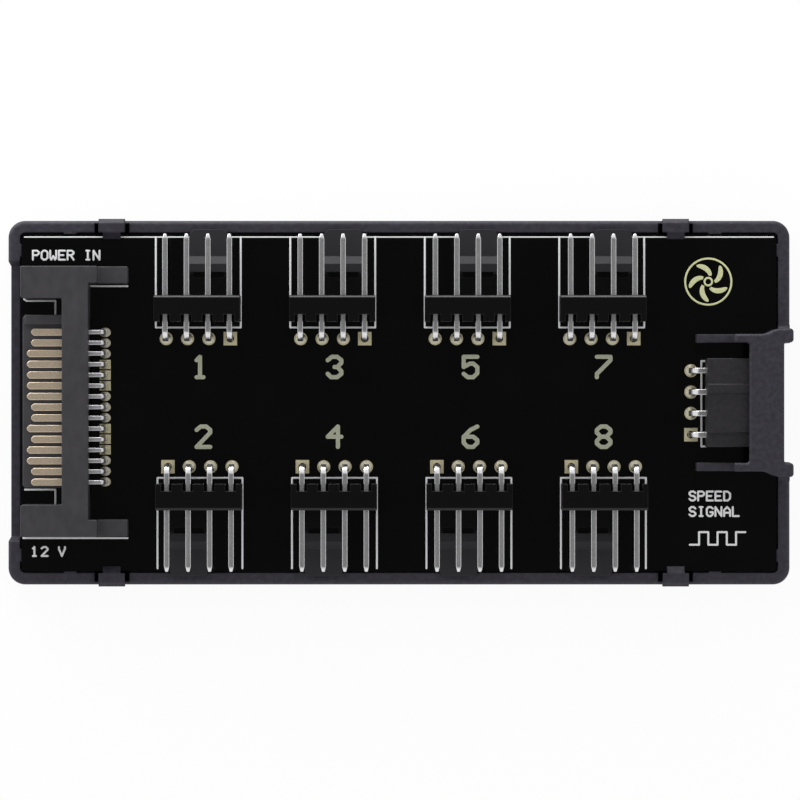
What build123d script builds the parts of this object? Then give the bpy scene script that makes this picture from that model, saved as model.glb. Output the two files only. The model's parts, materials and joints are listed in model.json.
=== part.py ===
from build123d import *
from math import cos, radians, sin
import os

# Eight-way fan hub: a circuit board with its connectors, snapped into a moulded tray.
# It lies on its back, with +Z out of the board, +X towards the control header and +Y towards the
# upper row of fan headers. The origin is the centre of the tray's underside.
# Sizes are in millimetres and angles in degrees.

# Circuit board
board_length = 89.7
board_width = 40.0
board_thickness = 1.6

# Tray
board_gap = 0.25  # between the board's edge and the wall
tray_wall = 1.4
tray_floor = 1.6
well_corner = 0.6  # inner corner radius, which the board's corners share
foot_chamfer = 0.4
rim_round = 0.5
rim_drop = 0.15  # from the board's top face down to the rim
ledge_width = 1.0  # shelf that carries the board
underside_clearance = 0.45  # between the tallest part under the board and the floor

# Snap clips in the long walls
clip_inset_left = 12.35  # from the tray's left end to the middle of a clip
clip_inset_right = 13.6  # from its right end
clip_width = 3.1
clip_slit = 0.5
clip_web = 0.35  # left across a slit at the wall's outer face
clip_proud = 0.2  # head outside the wall
clip_head = 2.2  # height of the thickened head
clip_chamfer = 0.5
hook_width = 2.1
hook_reach = 0.55  # over the board's edge
hook_lip = 0.45
hook_rise = 1.2
hook_gap = 0.05  # between hook and board

# Locating nubs inside the rim
nub_length = 1.5
nub_gap = 0.05  # between nub and board
nub_inset_left = 7.4  # from the tray's left end to the nubs in the long walls
nub_inset_right = 8.9  # from its right end
nub_inset_y = 3.5  # from its sides to the nubs in the short walls

# Lowered wall in front of the power inlet
low_wall_drop = 0.9
low_wall_inset = 0.3
low_wall_slope = 0.6
low_wall_margin = 0.1  # past each end of the inlet

# Hood over the control header
hood_side_gap = 1.85
hood_roof_gap = 0.15
hood_wall = 1.0
hood_roof = 1.0
hood_roof_depth = 4.1
hood_setback = 1.1  # roof edge inside the tray's end face
hood_outer_corner = 0.3  # round between its outer edge and the ears
hood_inner_corner = 0.4  # round between its inner edge and the rails
hood_chamfer = 0.2
rail_length = 11.25  # from the tray's end face
rail_step = 6.95  # from the end face to where the rails drop
rail_low_height = 3.5
rail_gap = 0.1  # between rails and board
ear_width = 1.65
ear_flare = 2.5  # run of the curve from rail to ear
ear_corner = 0.4
ear_foot = 0.55  # round where an ear meets the rim

# Disc magnets in the tray floor
magnet_diameter = 10.0
magnet_thickness = 1.5
magnet_spacing = 32.0
magnet_fit = 0.1
magnet_ring_wall = 0.9
magnet_ring_height = 1.2

# Pins and their holes
pin_pitch = 2.54
pin_side = 0.64
pin_fit = 0.02  # round a pin in its housing
pin_bend = 0.9  # radius at the pin's axis
pin_tip = 0.65
pin_tip_inset = 0.16  # narrowing on each side of a tip
pin_tail = 1.4  # below the board
pin_hole = 1.0
hole_facets = 10  # flats round a drilled hole
bend_facets = 4  # flats in a quarter bend of a pin or lead

# Fan headers
fan_pins = 4
header_columns = 4
header_pitch = 16.0
header_shift = 0.12  # of the upper row, to the right of the board's middle
lower_row_shift = 0.2  # of the lower row past the upper one
pin_reach = 12.38  # from the pads to the tips, which end at the board's edge
pin_height = 3.8
block_back = 1.98  # from the pads to the block
block_depth = 3.1
block_height = 6.0
block_chamfer = 0.25
notch_width = 1.25
notch_depth = 0.85
tab_width = 4.6
tab_thickness = 0.9
tab_overhang = 0.6  # past the pin tips
tab_corner = 0.5
tab_flat = 3.2
ramp_run = 0.9
ramp_rise = 0.9
crest_run = 1.0
window_run = 0.6
window_width = 3.6

# Power inlet
inlet_width = 32.0
inlet_height = 5.8
inlet_shift = 0.15  # towards the upper row
inlet_setback = 0.15  # mouth inside the board's edge
mouth_width = 24.4
mouth_flare = 0.2
tongue_width = 20.5
tongue_length = 4.75
tongue_underside = 2.2
tongue_thickness = 1.25
tongue_setback = 0.15
tongue_chamfer = 0.3
key_width = 1.1
key_rise = 1.1
inlet_body = 3.1
leg_width = 2.0
leg_length = 4.55
leg_step = 1.05  # full-height part of a leg
leg_low_height = 3.0

# Inlet contacts
contact_count = 15
contact_pitch = 1.27
contact_shift = -0.53
contact_width = 0.87
contact_thickness = 0.25
contact_fit = 0.02
contact_tip_chamfer = 0.3
contact_setback = 0.5  # long contacts, from the tongue's edge
contact_step = 0.5  # short contacts end this much further back
short_contacts = (1, 2, 8, 9, 11, 14, 15)
lead_width = 0.5
lead_reach = 1.75  # from the body to the holes
lead_bend = 0.25
lead_hole = 0.8

# Control header
control_pins = 4
control_width = 10.5
control_length = 8.35
control_height = 5.6
control_setback = 0.1  # mouth inside the board's edge
control_wall = 0.9
control_depth = 6.6
control_step_width = 1.7
control_step_drop = 0.6
control_rib_width = 1.06
control_rib_height = 0.25
control_rib_place = 1.64
control_pin_height = 2.75
control_lead = 1.67  # from the header's back to the pads
control_pin_setback = 1.2  # tips inside the mouth

# Signal buffer chip on the board's underside
chip_length = 4.9
chip_width = 3.9
chip_height = 1.5
chip_standoff = 0.12
chip_lead_pitch = 1.27
chip_lead_width = 0.42
chip_lead_reach = 1.05
chip_lead_thickness = 0.2
chip_leads = 4  # on each long side
chip_x = 0.0
chip_y = 12.0

# Fuse, diode and small chip parts on the board's underside
end_cap = 0.45
end_cap_rise = 0.05
supply_gap = 3.3  # from the inlet's pads to the fuse and diode
fuse_length = 4.5
fuse_width = 3.2
fuse_height = 1.2
fuse_y = -3.5
diode_length = 4.3
diode_width = 3.6
diode_height = 1.9
diode_y = 4.5
capacitor_length = 3.2
capacitor_width = 1.6
capacitor_height = 1.3
capacitor_count = 3
capacitor_pitch = 4.2
capacitor_x = 0.0
capacitor_y = -12.0
resistor_length = 2.0
resistor_width = 1.25
resistor_height = 0.55
resistor_count = 4
resistor_pitch = 3.2
resistor_inset = 7.5  # from the control header's pads
resistor_y = 0.0

# Levels and outlines that follow
underside_room = diode_height + end_cap_rise + underside_clearance
ledge_top = tray_floor + underside_room
board_top = ledge_top + board_thickness
rim_top = board_top - rim_drop
well_length = board_length + 2 * board_gap
well_width = board_width + 2 * board_gap
tray_length = well_length + 2 * tray_wall
tray_width = well_width + 2 * tray_wall
tray_corner = well_corner + tray_wall
clip_top = board_top + hook_gap + hook_rise
clip_places = (clip_inset_left - tray_length / 2, tray_length / 2 - clip_inset_right)
nub_places = (nub_inset_left - tray_length / 2, tray_length / 2 - nub_inset_right)
pad_row = board_width / 2 - pin_reach
block_width = fan_pins * pin_pitch
inlet_mouth = inlet_setback - board_length / 2
inlet_front = inlet_mouth + tongue_setback + tongue_length
inlet_back = inlet_front + inlet_body
tongue_top = board_top + tongue_underside + tongue_thickness
lead_column = inlet_back + lead_reach
control_mouth = board_length / 2 - control_setback
control_back = control_mouth - control_length
control_column = control_back - control_lead
roof_underside = board_top + control_height + control_rib_height + hood_roof_gap
roof_top = roof_underside + hood_roof
roof_outer = tray_length / 2 - hood_setback
roof_inner = roof_outer - hood_roof_depth
hood_inside = control_width / 2 + hood_side_gap
rail_outside = hood_inside + hood_wall
ear_outside = hood_inside + ear_width
tail_end = ledge_top - pin_tail


def quarter_bend(centre, radius, side):
    """Corners of a quarter turn about its centre, from the top round to one side (1 or -1)."""
    turns = [radians(90 * step / bend_facets) for step in range(bend_facets + 1)]
    return [(centre[0] + side * radius * sin(turn), centre[1] + radius * cos(turn)) for turn in turns]


def header_seat(column, row):
    """Plane of a fan header: origin at the middle of its pads, local Y towards the board's edge."""
    x = (column - (header_columns - 1) / 2) * header_pitch + header_shift
    if row == "upper":
        return Plane((x, pad_row, board_top), x_dir=(1, 0, 0), z_dir=(0, 0, 1))
    return Plane((x + lower_row_shift, -pad_row, board_top), x_dir=(-1, 0, 0), z_dir=(0, 0, 1))


# Fan headers are numbered down each column: odd above, even below
header_seats = [header_seat(c, row) for c in range(header_columns) for row in ("upper", "lower")]


def clip_section(place, side):
    """Section of a clip's head across the wall, on the side of +Y (1) or -Y (-1)."""
    wall_face = tray_width / 2
    head_face = wall_face + clip_proud
    foot = clip_top - clip_head
    with BuildSketch(Plane.YZ.offset(place)) as section:
        with BuildLine():
            Polyline(
                (side * well_width / 2, foot),
                (side * wall_face, foot),
                (side * head_face, foot + clip_proud),
                (side * head_face, clip_top - clip_chamfer),
                (side * (head_face - clip_chamfer), clip_top),
                (side * well_width / 2, clip_top),
                close=True,
            )
        make_face()
    return section.sketch


def hook_section(place, side):
    """Section of the hook that reaches over the board."""
    underside = board_top + hook_gap
    tip = board_width / 2 - hook_reach
    with BuildSketch(Plane.YZ.offset(place)) as section:
        with BuildLine():
            Polyline(
                (side * well_width / 2, underside),
                (side * tip, underside),
                (side * tip, underside + hook_lip),
                (side * well_width / 2, clip_top),
                close=True,
            )
        make_face()
    return section.sketch


def rail_plan(side):
    """Plan of a hood side: a straight rail that curves out to the ear on the end wall."""
    end_face = tray_length / 2
    flare_end = end_face - tray_wall
    flare_start = flare_end - ear_flare
    flare_middle = ((flare_start + flare_end) / 2, side * (rail_outside + ear_outside) / 2)
    with BuildSketch(Plane.XY.offset(board_top + rail_gap)) as plan:
        with BuildLine():
            Line((end_face - rail_step, side * hood_inside), (end_face - rail_step, side * rail_outside))
            Line((end_face - rail_step, side * rail_outside), (flare_start, side * rail_outside))
            first = TangentArc((flare_start, side * rail_outside), flare_middle, tangent=(1, 0))
            TangentArc(flare_middle, (flare_end, side * ear_outside), tangent=first % 1)
            Line((flare_end, side * ear_outside), (end_face, side * ear_outside))
            Line((end_face, side * ear_outside), (end_face, side * hood_inside))
            Line((end_face, side * hood_inside), (end_face - rail_step, side * hood_inside))
        make_face()
        fillet(plan.vertices().group_by(Axis.X)[-1], ear_corner)
    return plan.sketch


def mouth_plan(level):
    """Plan of the recess between the ears, with round inner corners, at a level."""
    with BuildSketch(Plane.XY.offset(level)) as plan:
        with Locations((roof_outer, 0)):
            RectangleRounded(
                hood_setback + 2 * hood_outer_corner,
                2 * hood_inside,
                hood_outer_corner,
                align=(Align.MIN, Align.CENTER),
            )
    return plan.sketch


def ear_root_section(side):
    """Section of an ear's root on the end wall, with a round foot on the rim."""
    with BuildSketch(Plane.YZ.offset(tray_length / 2 - tray_wall)) as section:
        with BuildLine():
            Line((side * hood_inside, rim_top), (side * (ear_outside + ear_foot), rim_top))
            RadiusArc(
                (side * (ear_outside + ear_foot), rim_top),
                (side * ear_outside, rim_top + ear_foot),
                side * ear_foot,
            )
            Line((side * ear_outside, rim_top + ear_foot), (side * hood_inside, rim_top + ear_foot))
            Line((side * hood_inside, rim_top + ear_foot), (side * hood_inside, rim_top))
        make_face()
    return section.sketch


# Base tray: walls, board shelf and floor
with BuildPart() as base_tray:
    with BuildSketch():
        RectangleRounded(tray_length, tray_width, tray_corner)
    extrude(amount=rim_top)
    chamfer(base_tray.faces().sort_by(Axis.Z)[0].edges(), foot_chamfer)
    fillet(base_tray.faces().sort_by(Axis.Z)[-1].edges(), rim_round)
    with BuildSketch(Plane.XY.offset(ledge_top)):
        RectangleRounded(well_length, well_width, well_corner)
    extrude(amount=rim_top - ledge_top, mode=Mode.SUBTRACT)
    with BuildSketch(Plane.XY.offset(tray_floor)):
        RectangleRounded(well_length - 2 * ledge_width, well_width - 2 * ledge_width, well_corner)
    extrude(amount=underside_room, mode=Mode.SUBTRACT)

    # Lowered wall at the inlet, set back and with sloped ends
    low_half = inlet_width / 2 + low_wall_margin
    low_start = inlet_shift - low_half
    low_end = inlet_shift + low_half
    with BuildSketch(Plane.YZ.offset(-tray_length / 2)):
        with BuildLine():
            Polyline(
                (low_start, rim_top - low_wall_drop),
                (low_end, rim_top - low_wall_drop),
                (low_end + low_wall_slope, rim_top),
                (low_start - low_wall_slope, rim_top),
                close=True,
            )
        make_face()
    extrude(amount=tray_wall, mode=Mode.SUBTRACT)
    with BuildSketch():
        with BuildLine():
            Polyline(
                (-tray_length / 2, low_start - low_wall_slope),
                (low_wall_inset - tray_length / 2, low_start),
                (low_wall_inset - tray_length / 2, low_end),
                (-tray_length / 2, low_end + low_wall_slope),
                close=True,
            )
        make_face()
    extrude(amount=rim_top, mode=Mode.SUBTRACT)

    # Open mouth for the control plug: the end set back, with no wall above the shelf
    extrude(mouth_plan(0), amount=rim_top, mode=Mode.SUBTRACT)
    with BuildSketch(Plane.XY.offset(ledge_top)):
        with Locations((well_length / 2, 0)):
            Rectangle(tray_wall, 2 * hood_inside, align=(Align.MIN, Align.CENTER))
    extrude(amount=rim_top - ledge_top, mode=Mode.SUBTRACT)

    # Slits that free each clip, with the shelf cut away behind it
    slit_depth = tray_wall - clip_web + ledge_width
    with BuildSketch(Plane.XY.offset(tray_floor)):
        for place in clip_places:
            for side in (1, -1):
                with Locations((place, side * (tray_width / 2 - clip_web - slit_depth / 2))):
                    Rectangle(clip_width + 2 * clip_slit, slit_depth)
        for place in clip_places:
            for side in (1, -1):
                with Locations((place, side * (tray_width - tray_wall) / 2)):
                    Rectangle(clip_width, tray_wall, mode=Mode.SUBTRACT)
    extrude(amount=rim_top - tray_floor, mode=Mode.SUBTRACT)

    # Clip heads and hooks
    for place in clip_places:
        for side in (1, -1):
            extrude(clip_section(place, side), amount=clip_width / 2, both=True)
            extrude(hook_section(place, side), amount=hook_width / 2, both=True)

    # Nubs that centre the board
    nub_depth = board_gap - nub_gap
    with BuildSketch(Plane.XY.offset(ledge_top)):
        for place in nub_places:
            with Locations((place, 0)):
                with GridLocations(0, well_width - nub_depth, 1, 2):
                    Rectangle(nub_length, nub_depth)
        with GridLocations(well_length - nub_depth, tray_width - 2 * nub_inset_y, 2, 2):
            Rectangle(nub_depth, nub_length)
    extrude(amount=rim_top - ledge_top)

    # Rings that hold the magnets
    with BuildSketch(Plane.XY.offset(tray_floor)):
        with GridLocations(magnet_spacing, 0, 2, 1):
            Circle(magnet_diameter / 2 + magnet_fit + magnet_ring_wall)
            Circle(magnet_diameter / 2 + magnet_fit, mode=Mode.SUBTRACT)
    extrude(amount=magnet_ring_height)

    # Hood over the control header: sides, low rail ends, ear roots and roof
    for side in (1, -1):
        extrude(rail_plan(side), amount=roof_top - board_top - rail_gap)
        extrude(ear_root_section(side), amount=tray_wall)
    with BuildSketch(Plane.XY.offset(board_top + rail_gap)):
        with GridLocations(0, 2 * hood_inside + hood_wall, 1, 2):
            with Locations((tray_length / 2 - rail_step, 0)):
                Rectangle(rail_length - rail_step, hood_wall, align=(Align.MAX, Align.CENTER))
    extrude(amount=rail_low_height)
    roof_span = 2 * hood_inside
    with BuildSketch(Plane.XY.offset(roof_underside)):
        with Locations((roof_outer + hood_outer_corner, 0)):
            roof_reach = hood_roof_depth + hood_outer_corner + hood_inner_corner
            Rectangle(roof_reach, roof_span, align=(Align.MAX, Align.CENTER))
        add(mouth_plan(roof_underside), mode=Mode.SUBTRACT)
        with Locations((roof_inner, 0)):
            RectangleRounded(
                4 * hood_inner_corner,
                roof_span,
                hood_inner_corner,
                align=(Align.MAX, Align.CENTER),
                mode=Mode.SUBTRACT,
            )
    extrude(amount=hood_roof)
    chamfer(base_tray.faces().sort_by(Axis.Z)[-1].edges(), hood_chamfer)
base_tray.part.label = "base_tray"

# Circuit board with a hole for every pin and lead
with BuildPart() as circuit_board:
    with BuildSketch(Plane.XY.offset(ledge_top)):
        RectangleRounded(board_length, board_width, well_corner)
        for seat in header_seats:
            with Locations((seat.origin.X, seat.origin.Y)):
                with GridLocations(pin_pitch, 0, fan_pins, 1):
                    RegularPolygon(pin_hole / 2, hole_facets, mode=Mode.SUBTRACT)
        with Locations((control_column, 0)):
            with GridLocations(0, pin_pitch, 1, control_pins):
                RegularPolygon(pin_hole / 2, hole_facets, mode=Mode.SUBTRACT)
        with Locations((lead_column, contact_shift)):
            with GridLocations(0, contact_pitch, 1, contact_count):
                RegularPolygon(lead_hole / 2, hole_facets, mode=Mode.SUBTRACT)
    extrude(amount=board_thickness)
circuit_board.part.label = "circuit_board"


def pin_section(reach, height):
    """Side view of a bent pin: along local Y from its tip, round the bend and down through the board."""
    half = pin_side / 2
    foot = -board_thickness - pin_tail
    centre = (pin_bend, height - pin_bend)
    with BuildSketch(Plane.YZ.offset(-half)) as section:
        with BuildLine():
            Polyline(
                (reach, height + half),
                *quarter_bend(centre, pin_bend + half, -1),
                (-half, foot),
                (half, foot),
                *reversed(quarter_bend(centre, pin_bend - half, -1)),
                (reach, height - half),
                close=True,
            )
        make_face()
    return section.sketch


def bent_pin(reach, height):
    """One square pin with tapered ends, bent down over its pad at the local origin."""
    with BuildPart() as pin:
        extrude(pin_section(reach, height), amount=pin_side)
        for end in (pin.faces().sort_by(Axis.Y)[-1], pin.faces().sort_by(Axis.Z)[0]):
            chamfer(end.edges(), pin_tip_inset, pin_tip, reference=end)
    return pin.part


# One fan header housing at its own origin: block, pin holes, notches and lock tab
with BuildPart() as header_housing:
    with BuildSketch():
        with Locations((0, block_back)):
            Rectangle(block_width, block_depth, align=(Align.CENTER, Align.MIN))
        with Locations((0, block_back)):
            with GridLocations(pin_pitch, 0, fan_pins, 1):
                Rectangle(
                    notch_width,
                    notch_depth,
                    align=(Align.CENTER, Align.MIN),
                    mode=Mode.SUBTRACT,
                )
    extrude(amount=block_height)
    block_front = block_back + block_depth
    front_edges = header_housing.edges().filter_by(Axis.X).group_by(Axis.Y)[-1]
    chamfer(front_edges.sort_by(Axis.Z)[-1], block_chamfer)
    with BuildSketch(Plane((0, block_back, pin_height), x_dir=(1, 0, 0), z_dir=(0, 1, 0))):
        with GridLocations(pin_pitch, 0, fan_pins, 1):
            Rectangle(pin_side + 2 * pin_fit, pin_side + 2 * pin_fit)
    extrude(amount=block_depth, mode=Mode.SUBTRACT)

    # Lock tab under the pins, centred on the second pin
    tab_middle = (fan_pins - 1) * pin_pitch / 2 - pin_pitch
    tab_end = pin_reach + tab_overhang
    crest_start = tab_end - tab_flat - ramp_run
    crest_end = crest_start - crest_run
    with BuildSketch(Plane.YZ.offset(tab_middle)):
        with BuildLine():
            Polyline(
                (block_front, 0),
                (tab_end, 0),
                (tab_end, tab_thickness),
                (tab_end - tab_flat, tab_thickness),
                (crest_start, tab_thickness + ramp_rise),
                (crest_end, tab_thickness + ramp_rise),
                (crest_end, tab_thickness),
                (block_front, tab_thickness),
                close=True,
            )
        make_face()
    extrude(amount=tab_width / 2, both=True)
    with BuildSketch():
        with Locations((tab_middle, crest_end)):
            Rectangle(window_width, window_run, align=(Align.CENTER, Align.MAX))
    extrude(amount=tab_thickness, mode=Mode.SUBTRACT)
    tab_corners = header_housing.edges().filter_by(Axis.Z).group_by(Axis.Y)[-1]
    chamfer(tab_corners, tab_corner)

# Four pins of one fan header at its own origin
with BuildPart() as header_pins:
    with GridLocations(pin_pitch, 0, fan_pins, 1):
        add(bent_pin(pin_reach, pin_height))

def inlet_plane(level):
    """Level plane with its origin on the inlet's middle line."""
    return Plane((0, inlet_shift, level))


# Power inlet housing: body with its mouth and legs, and the tongue in the mouth
with BuildPart() as power_inlet_housing:
    leg_middle = (inlet_width - leg_width) / 2
    with BuildSketch(inlet_plane(board_top)):
        with Locations((inlet_mouth, 0)):
            Rectangle(inlet_back - inlet_mouth, inlet_width, align=(Align.MIN, Align.CENTER))
            Rectangle(
                inlet_front - inlet_mouth,
                mouth_width,
                align=(Align.MIN, Align.CENTER),
                mode=Mode.SUBTRACT,
            )
        with GridLocations(0, 2 * leg_middle, 1, 2):
            with Locations((inlet_back, 0)):
                Rectangle(leg_step, leg_width, align=(Align.MIN, Align.CENTER))
    extrude(amount=inlet_height)
    mouth_edges = power_inlet_housing.edges().filter_by(Axis.Z).group_by(Axis.X)[0]
    chamfer(mouth_edges.sort_by(Axis.Y)[1:3], mouth_flare)
    with BuildSketch(inlet_plane(board_top)):
        with GridLocations(0, 2 * leg_middle, 1, 2):
            with Locations((inlet_back + leg_step, 0)):
                Rectangle(leg_length - leg_step, leg_width, align=(Align.MIN, Align.CENTER))
    extrude(amount=leg_low_height)
    with BuildSketch(inlet_plane(board_top + tongue_underside)) as tongue:
        with Locations((inlet_front, 0)):
            Rectangle(tongue_length, tongue_width, align=(Align.MAX, Align.CENTER))
        chamfer(tongue.vertices().group_by(Axis.X)[0], tongue_chamfer)
    extrude(amount=tongue_thickness)
    with BuildSketch(inlet_plane(tongue_top)):
        with Locations((inlet_front, tongue_width / 2)):
            Rectangle(tongue_length - tongue_chamfer, key_width, align=(Align.MAX, Align.MAX))
    extrude(amount=key_rise)
    with BuildSketch(Plane((inlet_front, contact_shift, tongue_top), x_dir=(0, 1, 0), z_dir=(1, 0, 0))):
        with GridLocations(contact_pitch, 0, contact_count, 1):
            Rectangle(
                contact_width + 2 * contact_fit,
                contact_thickness + contact_fit,
                align=(Align.CENTER, Align.MIN),
            )
    extrude(amount=inlet_body, mode=Mode.SUBTRACT)
power_inlet_housing.part.label = "power_inlet_housing"


def contact_place(number):
    """Y of a contact, counted from the keyed end of the tongue."""
    return contact_shift + ((contact_count + 1) / 2 - number) * contact_pitch


# Inlet contacts: flat blades on the tongue, each with a narrower lead bent down into the board
blade_end = inlet_front + inlet_body / 2
tongue_edge = inlet_front - tongue_length


def blade_plan(number):
    """Plan of a contact's blade, with a chamfered tip towards the mouth."""
    setback = contact_setback + (contact_step if number in short_contacts else 0)
    with BuildSketch(Plane.XY.offset(tongue_top)) as plan:
        with Locations((blade_end, contact_place(number))):
            Rectangle(blade_end - tongue_edge - setback, contact_width, align=(Align.MAX, Align.CENTER))
        chamfer(plan.vertices().group_by(Axis.X)[0], contact_tip_chamfer)
    return plan.sketch


def lead_section(number):
    """Side view of a contact's lead: out of the body, round its bend and down through the board."""
    centre = (lead_column - contact_thickness / 2 - lead_bend, tongue_top - lead_bend)
    with BuildSketch(Plane.XZ.offset(-contact_place(number))) as section:
        with BuildLine():
            Polyline(
                (blade_end, tongue_top + contact_thickness),
                *quarter_bend(centre, lead_bend + contact_thickness, 1),
                (lead_column + contact_thickness / 2, tail_end),
                (lead_column - contact_thickness / 2, tail_end),
                *reversed(quarter_bend(centre, lead_bend, 1)),
                (blade_end, tongue_top),
                close=True,
            )
        make_face()
    return section.sketch


with BuildPart() as power_inlet_contacts:
    for number in range(1, contact_count + 1):
        extrude(blade_plan(number), amount=contact_thickness)
        extrude(lead_section(number), amount=lead_width / 2, both=True)
power_inlet_contacts.part.label = "power_inlet_contacts"

# Control header housing: a shroud open to the right, with a stepped and ribbed top
with BuildPart() as control_header_housing:
    half_width = control_width / 2
    step_edge = control_step_width - half_width
    with BuildSketch(Plane.YZ.offset(control_back)):
        with BuildLine():
            Polyline(
                (-half_width, board_top),
                (half_width, board_top),
                (half_width, board_top + control_height),
                (step_edge, board_top + control_height),
                (step_edge, board_top + control_height - control_step_drop),
                (-half_width, board_top + control_height - control_step_drop),
                close=True,
            )
        make_face()
        with Locations((control_rib_place, board_top + control_height)):
            Rectangle(control_rib_width, control_rib_height, align=(Align.CENTER, Align.MIN))
    extrude(amount=control_length)
    with BuildSketch(Plane.YZ.offset(control_mouth)):
        with Locations((0, board_top + control_wall)):
            Rectangle(
                control_width - 2 * control_wall,
                control_height - control_step_drop - 2 * control_wall,
                align=(Align.CENTER, Align.MIN),
            )
    extrude(amount=-control_depth, mode=Mode.SUBTRACT)
    with BuildSketch(Plane.YZ.offset(control_back)):
        with Locations((0, board_top + control_pin_height)):
            with GridLocations(pin_pitch, 0, control_pins, 1):
                Rectangle(pin_side + 2 * pin_fit, pin_side + 2 * pin_fit)
    extrude(amount=control_length - control_depth, mode=Mode.SUBTRACT)
control_header_housing.part.label = "control_header_housing"

# Control header pins
control_reach = control_lead + control_length - control_pin_setback
control_seat = Plane((control_column, 0, board_top), x_dir=(0, -1, 0), z_dir=(0, 0, 1))
with BuildPart(control_seat) as control_header_pins:
    with GridLocations(pin_pitch, 0, control_pins, 1):
        add(bent_pin(control_reach, control_pin_height))
control_header_pins.part.label = "control_header_pins"


def underside(x, y):
    """Plane on the board's underside, facing down."""
    return Plane((x, y, ledge_top), x_dir=(1, 0, 0), z_dir=(0, 0, -1))


def chip_row(seat, length, width, height, pitch=0, count=1):
    """Chip parts with raised end terminals, in a row across the board."""
    with BuildPart() as chips:
        with BuildSketch(seat):
            with GridLocations(0, pitch, 1, count):
                Rectangle(length, width)
        extrude(amount=height)
        with BuildSketch(seat):
            with GridLocations(0, pitch, 1, count):
                with GridLocations(length - end_cap, 0, 2, 1):
                    Rectangle(end_cap, width + 2 * end_cap_rise)
        extrude(amount=height + end_cap_rise)
    return chips


# Signal buffer chip: moulded body with a row of leads on each long side
with BuildPart() as signal_buffer_chip:
    chip_seat = underside(chip_x, chip_y)
    with BuildSketch(chip_seat.offset(chip_standoff)):
        Rectangle(chip_length, chip_width)
    extrude(amount=chip_height - chip_standoff)
    chamfer(signal_buffer_chip.faces().sort_by(Axis.Z)[0].edges(), chip_standoff)
    with BuildSketch(chip_seat):
        with GridLocations(chip_lead_pitch, chip_width + chip_lead_reach, chip_leads, 2):
            Rectangle(chip_lead_width, chip_lead_reach)
    extrude(amount=chip_lead_thickness)
    with BuildSketch(chip_seat):
        with GridLocations(chip_lead_pitch, chip_width + chip_lead_thickness, chip_leads, 2):
            Rectangle(chip_lead_width, chip_lead_thickness)
    extrude(amount=chip_height / 2)
signal_buffer_chip.part.label = "signal_buffer_chip"

# Fuse, diode, capacitors and resistors
supply_start = lead_column + supply_gap
fuse_seat = underside(supply_start + fuse_length / 2, fuse_y)
input_fuse = chip_row(fuse_seat, fuse_length, fuse_width, fuse_height)
input_fuse.part.label = "input_fuse"
diode_seat = underside(supply_start + diode_length / 2, diode_y)
surge_diode = chip_row(diode_seat, diode_length, diode_width, diode_height)
surge_diode.part.label = "surge_diode"
chip_capacitors = chip_row(
    underside(capacitor_x, capacitor_y),
    capacitor_length,
    capacitor_width,
    capacitor_height,
    capacitor_pitch,
    capacitor_count,
)
chip_capacitors.part.label = "chip_capacitors"
chip_resistors = chip_row(
    underside(control_column - resistor_inset, resistor_y),
    resistor_length,
    resistor_width,
    resistor_height,
    resistor_pitch,
    resistor_count,
)
chip_resistors.part.label = "chip_resistors"

# Disc magnets
with BuildPart() as holding_magnets:
    with BuildSketch(Plane.XY.offset(tray_floor)):
        with GridLocations(magnet_spacing, 0, 2, 1):
            Circle(magnet_diameter / 2)
    extrude(amount=magnet_thickness)
holding_magnets.part.label = "holding_magnets"

# Write one file for each sub-part
os.makedirs("parts", exist_ok=True)
single_parts = (
    base_tray,
    circuit_board,
    power_inlet_housing,
    power_inlet_contacts,
    control_header_housing,
    control_header_pins,
    signal_buffer_chip,
    input_fuse,
    surge_diode,
    chip_capacitors,
    chip_resistors,
    holding_magnets,
)
for piece in single_parts:
    export_step(piece.part, f"parts/{piece.part.label}.step")

for number, seat in enumerate(header_seats, start=1):
    with BuildPart(seat) as housing:
        add(header_housing.part)
    housing.part.label = f"fan_header_{number}_housing"
    export_step(housing.part, f"parts/{housing.part.label}.step")
    with BuildPart(seat) as pins:
        add(header_pins.part)
    pins.part.label = f"fan_header_{number}_pins"
    export_step(pins.part, f"parts/{pins.part.label}.step")
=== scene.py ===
"""Fan hub: finishes, pads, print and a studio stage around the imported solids. Lengths are in metres."""
import json
import math
import bpy
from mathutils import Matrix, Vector

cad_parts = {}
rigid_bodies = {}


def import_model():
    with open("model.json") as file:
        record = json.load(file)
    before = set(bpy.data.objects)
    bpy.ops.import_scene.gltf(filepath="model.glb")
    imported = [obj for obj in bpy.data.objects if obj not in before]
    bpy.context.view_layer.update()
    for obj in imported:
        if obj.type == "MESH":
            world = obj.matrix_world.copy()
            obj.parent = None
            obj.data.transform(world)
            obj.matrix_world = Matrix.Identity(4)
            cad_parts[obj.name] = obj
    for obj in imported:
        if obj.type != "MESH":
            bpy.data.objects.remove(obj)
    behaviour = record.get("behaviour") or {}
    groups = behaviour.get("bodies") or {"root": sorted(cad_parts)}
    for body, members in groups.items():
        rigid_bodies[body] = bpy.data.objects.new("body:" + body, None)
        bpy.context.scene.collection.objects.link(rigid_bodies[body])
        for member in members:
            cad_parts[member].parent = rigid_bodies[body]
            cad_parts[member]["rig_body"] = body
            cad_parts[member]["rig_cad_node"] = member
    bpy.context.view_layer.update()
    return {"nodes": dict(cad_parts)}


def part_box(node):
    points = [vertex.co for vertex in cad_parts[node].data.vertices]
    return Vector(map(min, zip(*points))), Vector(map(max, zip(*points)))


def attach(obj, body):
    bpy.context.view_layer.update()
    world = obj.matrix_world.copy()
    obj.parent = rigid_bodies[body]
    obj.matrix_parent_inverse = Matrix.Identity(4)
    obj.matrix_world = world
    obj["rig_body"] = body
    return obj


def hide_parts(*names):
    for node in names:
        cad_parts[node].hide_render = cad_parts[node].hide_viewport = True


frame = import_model()

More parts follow.
